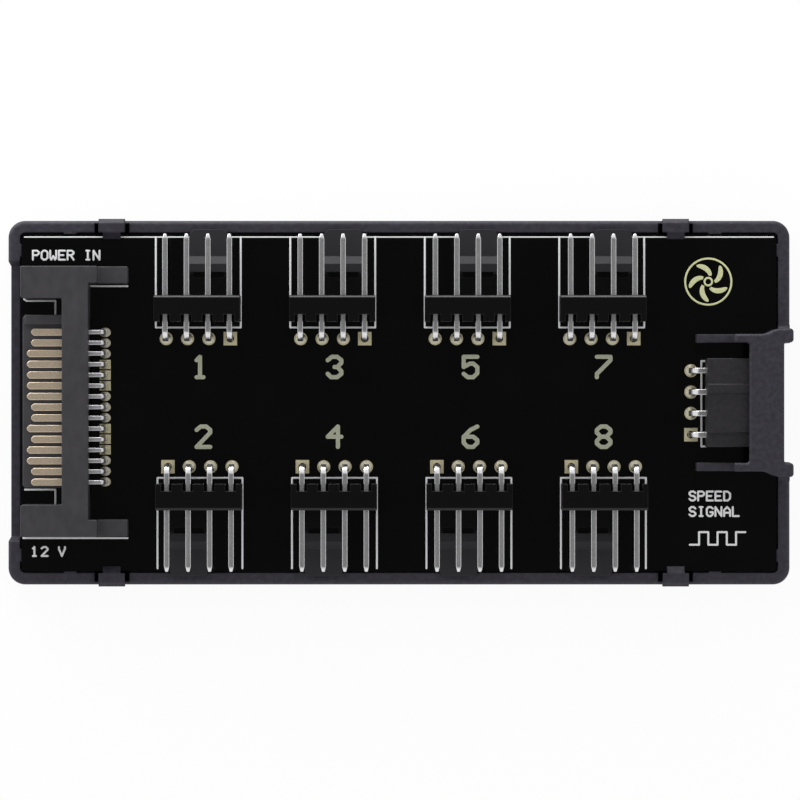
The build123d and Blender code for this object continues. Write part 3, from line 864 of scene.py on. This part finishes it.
def solder_fillet(outer, stretch, settings):
    """Models one solder fillet at the origin: a low skirt that climbs towards the pin."""
    bpy.ops.object.select_all(action="DESELECT")
    bpy.ops.mesh.primitive_circle_add(vertices=settings.sides, radius=outer / 2, fill_type="NGON")
    piece = bpy.context.active_object
    bpy.ops.object.mode_set(mode="EDIT")
    bpy.ops.mesh.select_all(action="SELECT")
    for share, rise in FILLET_STEPS:
        bpy.ops.mesh.extrude_region_move(TRANSFORM_OT_translate={"value": (0.0, 0.0, rise * outer)})
        bpy.ops.transform.resize(value=(share, share, 1.0), center_override=(0.0, 0.0, 0.0))
    lengthen(stretch)
    bpy.ops.mesh.normals_make_consistent(inside=False)
    bpy.ops.object.mode_set(mode="OBJECT")
    bpy.ops.object.shade_smooth_by_angle(angle=SMOOTH_ANGLE)
    return piece


def scatter(master, places, lift=0.0):
    """Copies a modelled piece to each place on the board and joins the copies at the origin."""
    copies = []
    for x, y in places:
        select_only(master)
        bpy.ops.object.duplicate()
        copy = bpy.context.active_object
        copy.location = (x, y, BOARD_TOP + lift)
        copies.append(copy)
    select_only(master)
    bpy.ops.object.delete()
    for copy in copies:
        copy.select_set(True)
    bpy.context.view_layer.objects.active = copies[0]
    bpy.ops.object.transform_apply(location=True, rotation=False, scale=False)
    bpy.ops.object.join()
    return bpy.context.active_object


def evenly(first, last, count):
    """Places from first to last in equal steps."""
    return [first + (last - first) * index / (count - 1) for index in range(count)]


def fan_pad_places(number, pin_side):
    """Places of a fan header's pads, with the first pin last."""
    low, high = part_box(f"fan_header_{number}_pins")
    half = pin_side / 2
    row = evenly(low.x + half, high.x - half, FAN_PINS)
    if low.y > 0:
        return [(x, low.y + half) for x in row]
    return [(x, high.y - half) for x in reversed(row)]


def control_pad_places(pin_side):
    """Places of the control header's pads, with the first pin last."""
    low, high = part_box("control_header_pins")
    half = pin_side / 2
    return [(low.x + half, y) for y in evenly(high.y - half, low.y + half, FAN_PINS)]


def lead_pad_places(settings):
    """Places of the inlet's pads, from the keyed end."""
    low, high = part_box("power_inlet_contacts")
    half = settings.contact_width / 2
    column = high.x - settings.lead_thickness / 2
    return [(column, y) for y in evenly(high.y - half, low.y + half, CONTACTS)]


def pin_rows(settings):
    """Rows of pin pads, each with its first pin last."""
    rows = [fan_pad_places(number, settings.pin_side) for number in FAN_HEADERS]
    rows.append(control_pad_places(settings.pin_side))
    return rows


def round_pads(settings):
    """Places of the round pads at the pins and at the leads."""
    pins = [place for row in pin_rows(settings) for place in row[:-1]]
    leads = [place for number, place in enumerate(lead_pad_places(settings), 1) if number not in SQUARE_LEADS]
    return pins, leads


def square_pads(settings):
    """Places of the square pads at the pins and at the leads."""
    pins = [row[-1] for row in pin_rows(settings)]
    leads = [place for number, place in enumerate(lead_pad_places(settings), 1) if number in SQUARE_LEADS]
    return pins, leads


class HUB_OT_pads(bpy.types.Operator):
    """Plated pads round every pin and lead"""

    bl_idname = "hub.pads"
    bl_label = "Pads"

    def execute(self, context):
        settings = context.scene.hub_pads
        finish = plated_copper("pad_plated_copper", context.scene.hub_finish.pad, metallic=0.75)
        round_pins, round_leads = round_pads(settings)
        square_pins, square_leads = square_pads(settings)
        stretch = settings.lead_stretch
        sets = {
            "pin_pads_round": (settings.pin_pad, settings.pin_hole, False, 1.0, round_pins),
            "pin_pads_square": (settings.pin_square, settings.pin_hole, True, 1.0, square_pins),
            "lead_pads_round": (settings.lead_pad, settings.lead_hole, False, stretch, round_leads),
            "lead_pads_square": (settings.lead_pad, settings.lead_hole, True, stretch, square_leads),
        }
        for name, (outer, hole, square, longer, places) in sets.items():
            seat(scatter(pad(outer, hole, square, longer, settings), places), name, finish)
        return {"FINISHED"}


class HUB_OT_solder(bpy.types.Operator):
    """Solder fillets at the round pads and at every lead"""

    bl_idname = "hub.solder"
    bl_label = "Solder"

    def execute(self, context):
        settings = context.scene.hub_pads
        colours = context.scene.hub_finish
        pin_skin = tin_solder("pin_solder_skin", colours.solder)
        lead_skin = tin_solder("lead_solder_skin", colours.lead_solder)
        gilt_skin = tin_solder("square_lead_solder_skin", colours.gilt_solder)
        pins, leads = round_pads(settings)
        square_leads = square_pads(settings)[1]
        lead_width = settings.lead_pad * LEAD_FILLET
        sets = {
            "pin_solder": (settings.pin_pad * PIN_FILLET, 1.0, pin_skin, "pin_tin", pins),
            "lead_solder": (lead_width, settings.lead_stretch, lead_skin, "pin_tin", leads),
            "square_lead_solder": (lead_width, settings.lead_stretch, gilt_skin, "pad_gold", square_leads),
        }
        for name, (outer, stretch, finish, slot, places) in sets.items():
            fillet = solder_fillet(outer, stretch, settings)
            seat(scatter(fillet, places, settings.plating), name, finish)
        return {"FINISHED"}


def pen_line(start, end, pen):
    """Points of one straight pen line with round ends, each with its share of the pen's width."""
    along = (end - start).normalized() * pen
    turns = [math.radians(turn) for turn in CAP_TURNS]
    tail = [(start - along * math.sin(turn), math.cos(turn)) for turn in turns]
    nose = [(end + along * math.sin(turn), math.cos(turn)) for turn in reversed(turns)]
    return tail + nose


def pen_strokes(strokes, width):
    """Paths of the straight pen lines that make up some strokes."""
    paths = []
    for stroke in strokes:
        paths += [pen_line(Vector(start), Vector(end), width / 2) for start, end in zip(stroke, stroke[1:])]
    return paths


def draw(name, paths, width, height, finish, closed=False):
    """Draws paths on the board as flat raised lines, each point with its share of the width."""
    curve = bpy.data.curves.new(name, "CURVE")
    curve.dimensions = "3D"
    curve.bevel_depth = width / 2
    curve.bevel_resolution = PEN_RESOLUTION
    curve.use_fill_caps = True
    for path in paths:
        spline = curve.splines.new("POLY")
        spline.points.add(len(path) - 1)
        spline.use_cyclic_u = closed
        for point, (place, share) in zip(spline.points, path):
            point.co = (*place, 0.0, 1.0)
            point.radius = share
    piece = bpy.data.objects.new(name, curve)
    bpy.context.collection.objects.link(piece)
    select_only(piece)
    bpy.ops.object.convert(target="MESH")
    piece = bpy.context.active_object
    select_vertices(piece, lambda place: place.z < 0)
    bpy.ops.transform.resize(value=(1.0, 1.0, 0.0), center_override=(0.0, 0.0, 0.0))
    bpy.ops.mesh.select_all(action="SELECT")
    bpy.ops.transform.resize(value=(1.0, 1.0, 2 * height / width), center_override=(0.0, 0.0, 0.0))
    bpy.ops.transform.translate(value=(0.0, 0.0, BOARD_TOP))
    bpy.ops.object.mode_set(mode="OBJECT")
    bpy.ops.object.shade_smooth_by_angle(angle=SMOOTH_ANGLE)
    return seat(piece, name, finish)


def word(text, grid, step, left, middle):
    """Strokes of a word that starts at left and is centred on middle."""
    low = middle - grid * GLYPH_HEIGHT / 2
    strokes = []
    for index, letter in enumerate(text):
        start = left + index * step
        strokes += [[(start + x * grid, low + y * grid) for x, y in stroke] for stroke in GLYPHS[letter]]
    return strokes


class HUB_OT_numerals(bpy.types.Operator):
    """Plated numerals, one for each fan header"""

    bl_idname = "hub.numerals"
    bl_label = "Numerals"

    def execute(self, context):
        settings = context.scene.hub_print
        finish = plated_copper("numeral_plated_copper", context.scene.hub_finish.numeral, metallic=0.5)
        strokes = []
        for number in FAN_HEADERS:
            left = NUMERAL_LEFTS[(number - 1) // 2]
            middle = settings.numeral_middle * (1 if number % 2 else -1) + NUMERAL_LIFT
            strokes += word(str(number), settings.numeral_grid, 0.0, left, middle)
        pen = settings.numeral_stroke
        draw("header_numerals", pen_strokes(strokes, pen), pen, settings.ink_height, finish)
        return {"FINISHED"}


def header_outline(number, settings):
    """Printed outline of a fan header: a back line and two side lines to the board's edge."""
    low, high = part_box(f"fan_header_{number}_housing")
    middle = (low.x + high.x) / 2
    side = 1 if low.y > 0 else -1
    left = middle - settings.outline_half
    right = middle + settings.outline_half
    back = side * settings.outline_back
    end = side * settings.outline_end
    return [(left, end), (left, back), (right, back), (right, end)]


class HUB_OT_print_lines(bpy.types.Operator):
    """Printed outlines and the line along the board's upper edge"""

    bl_idname = "hub.print_lines"
    bl_label = "Print lines"

    def execute(self, context):
        settings = context.scene.hub_print
        finish = board_ink("board_white_ink", context.scene.hub_finish.ink)
        height = settings.ink_height
        strokes = [header_outline(number, settings) for number in FAN_HEADERS]
        strokes += INLET_LINES
        strokes += CONTROL_LINES
        pen = settings.line_width
        draw("board_print_lines", pen_strokes(strokes, pen), pen, height, finish)
        inset = settings.edge_inset
        edge = BOARD_HIGH.y - inset
        strokes = [[(BOARD_LOW.x + inset, edge), (BOARD_HIGH.x - inset, edge)]]
        pen = settings.edge_width
        draw("board_edge_line", pen_strokes(strokes, pen), pen, height, finish)
        return {"FINISHED"}


def square_wave():
    """Corners of a square wave, the sign for a pulsed signal."""
    left, low = WAVE_START
    corners = []
    for half in range(WAVE_HALVES):
        level = low + WAVE_HEIGHT * (half % 2)
        corners += [(left + half * WAVE_STEP, level), (left + (half + 1) * WAVE_STEP, level)]
    return corners


class HUB_OT_labels(bpy.types.Operator):
    """Printed words and a square wave sign"""

    bl_idname = "hub.labels"
    bl_label = "Labels"

    def execute(self, context):
        settings = context.scene.hub_print
        finish = board_ink("label_white_ink", context.scene.hub_finish.ink)
        grid = settings.label_grid
        step = settings.label_step
        strokes = []
        for text, (left, middle) in LABELS:
            strokes += word(text, grid, step, left, middle)
        strokes.append(square_wave())
        pen = settings.label_stroke
        draw("board_labels", pen_strokes(strokes, pen), pen, settings.ink_height, finish)
        return {"FINISHED"}


class HUB_OT_fan_sign(bpy.types.Operator):
    """Plated fan sign: a ring, a hub and swept blades"""

    bl_idname = "hub.fan_sign"
    bl_label = "Fan sign"

    def execute(self, context):
        settings = context.scene.hub_print
        finish = plated_copper("sign_plated_copper", context.scene.hub_finish.sign, metallic=0.4)
        height = settings.ink_height
        rings = [self.ring(FAN_SIGN_RING), self.ring(FAN_SIGN_HUB)]
        draw("fan_sign_rings", rings, settings.line_width, height, finish, closed=True)
        blades = [self.blade(turn) for turn in range(0, 360, FAN_SIGN_TURN)]
        draw("fan_sign_blades", blades, FAN_SIGN_BLADE, height, finish)
        return {"FINISHED"}

    def at(self, radius, angle):
        """A place round the sign's middle."""
        turn = math.radians(angle)
        return FAN_SIGN_PLACE + radius * Vector((math.cos(turn), math.sin(turn)))

    def ring(self, radius):
        """Points round the sign's middle, all at the full width of the pen."""
        return [(self.at(radius, angle), 1.0) for angle in evenly(0.0, 360.0, FAN_SIGN_POINTS)[:-1]]

    def blade(self, turn):
        """A swept blade, slim at its root, widest past the middle and round at its tip."""
        points = []
        for step in evenly(0.0, 1.0, FAN_SIGN_POINTS):
            radius = FAN_SIGN_ROOT + (FAN_SIGN_TIP - FAN_SIGN_ROOT) * step
            width = math.sqrt(1.0 - step) * (FAN_SIGN_ROOT_SHARE + FAN_SIGN_SWELL * step)
            points.append((self.at(radius, turn + FAN_SIGN_SWEEP * step), width))
        return points


class HUB_OT_stage(bpy.types.Operator):
    """Pale floor, soft light and the camera over the board"""

    bl_idname = "hub.stage"
    bl_label = "Stage"

    def execute(self, context):
        settings = context.scene.hub_stage
        self.add_floor(settings)
        self.add_world(context.scene)
        for name, (place, size, radiance) in SOFTBOXES.items():
            self.add_softbox(name, place, size, radiance)
        self.add_camera(context.scene, settings)
        return {"FINISHED"}

    def add_floor(self, settings):
        """A wide pale floor under the hub."""
        bpy.ops.object.select_all(action="DESELECT")
        bpy.ops.mesh.primitive_plane_add(size=settings.floor_size, location=(0.0, 0.0, settings.floor_rise))
        floor = bpy.context.active_object
        floor.name = "floor"
        floor.data.materials.append(self.floor_finish(settings))

    def floor_finish(self, settings):
        """Matt and pale, and mostly white of itself where a camera or a mirror looks at it."""
        finish = new_finish("floor_pale")
        matt = finish.node("ShaderNodeBsdfDiffuse", {}, {"Color": (*settings.floor_colour, 1.0)})
        white = finish.node("ShaderNodeEmission", {}, {"Strength": 1.0})
        share = settings.floor_white * finish.seeing_rays()
        mixed = finish.node("ShaderNodeMixShader", {}, {0: share, 1: matt, 2: white})
        finish.node("ShaderNodeOutputMaterial", {}, {"Surface": mixed})
        return finish.owner

    def add_world(self, scene):
        """Plain light from all round, from a tent that is seen as white and dim only straight overhead."""
        scene.world = bpy.data.worlds.new("studio")
        finish = Finish(scene.world)
        direction = finish.node("ShaderNodeTexCoord", output="Generated")
        height = finish.node("ShaderNodeSeparateXYZ", {}, {0: direction}, output="Z")
        seen = finish.ramp(height, TENT_STOPS)
        plain = (TENT_LIGHT, TENT_LIGHT, TENT_LIGHT, 1.0)
        level = finish.blend(finish.seeing_rays(), plain, seen)
        light = finish.node("ShaderNodeBackground", {}, {"Color": level, "Strength": 1.0})
        finish.node("ShaderNodeOutputWorld", {}, {"Surface": light})

    def add_softbox(self, name, place, size, radiance):
        """A soft lamp that faces the hub."""
        bpy.ops.object.light_add(type="AREA", location=place)
        lamp = bpy.context.active_object
        lamp.name = name
        lamp.data.shape = "RECTANGLE"
        lamp.data.size, lamp.data.size_y = size
        lamp.data.energy = radiance * math.pi * size[0] * size[1]
        lamp.visible_camera = False
        lamp.rotation_euler = lamp.location.to_track_quat("Z", "Y").to_euler()

    def add_camera(self, scene, settings):
        """A long lens straight over the board."""
        place = (settings.camera_x, settings.camera_y, BOARD_TOP + settings.camera_height)
        bpy.ops.object.camera_add(location=place, rotation=(0.0, 0.0, 0.0))
        camera = bpy.context.active_object
        camera.data.sensor_width = settings.sensor / MM
        camera.data.lens = camera.data.sensor_width * settings.camera_height / settings.view_width
        scene.camera = camera
        scene.view_settings.view_transform = "Standard"


STEPS = (
    HUB_OT_tray,
    HUB_OT_board,
    HUB_OT_fan_headers,
    HUB_OT_power_inlet,
    HUB_OT_control_header,
    HUB_OT_hidden_parts,
    HUB_OT_pads,
    HUB_OT_solder,
    HUB_OT_numerals,
    HUB_OT_print_lines,
    HUB_OT_labels,
    HUB_OT_fan_sign,
    HUB_OT_stage,
)


class HUB_PT_steps(bpy.types.Panel):
    """The hub's dressing steps, in order"""

    bl_idname = "HUB_PT_steps"
    bl_label = "Fan Hub"
    bl_space_type = "VIEW_3D"
    bl_region_type = "UI"
    bl_category = "Fan Hub"

    def draw(self, context):
        for step in STEPS:
            self.layout.operator(step.bl_idname)


CLASSES = (HubFinishSettings, HubPadSettings, HubPrintSettings, HubStageSettings, *STEPS, HUB_PT_steps)


def register():
    for each in CLASSES:
        bpy.utils.register_class(each)
    bpy.types.Scene.hub_finish = bpy.props.PointerProperty(type=HubFinishSettings)
    bpy.types.Scene.hub_pads = bpy.props.PointerProperty(type=HubPadSettings)
    bpy.types.Scene.hub_print = bpy.props.PointerProperty(type=HubPrintSettings)
    bpy.types.Scene.hub_stage = bpy.props.PointerProperty(type=HubStageSettings)


def unregister():
    del bpy.types.Scene.hub_stage
    del bpy.types.Scene.hub_print
    del bpy.types.Scene.hub_pads
    del bpy.types.Scene.hub_finish
    for each in reversed(CLASSES):
        bpy.utils.unregister_class(each)


def main():
    register()
    bpy.ops.hub.tray()
    bpy.ops.hub.board()
    bpy.ops.hub.fan_headers()
    bpy.ops.hub.power_inlet()
    bpy.ops.hub.control_header()
    bpy.ops.hub.hidden_parts()
    bpy.ops.hub.pads()
    bpy.ops.hub.solder()
    bpy.ops.hub.numerals()
    bpy.ops.hub.print_lines()
    bpy.ops.hub.labels()
    bpy.ops.hub.fan_sign()
    bpy.ops.hub.stage()


if __name__ == "__main__":
    main()
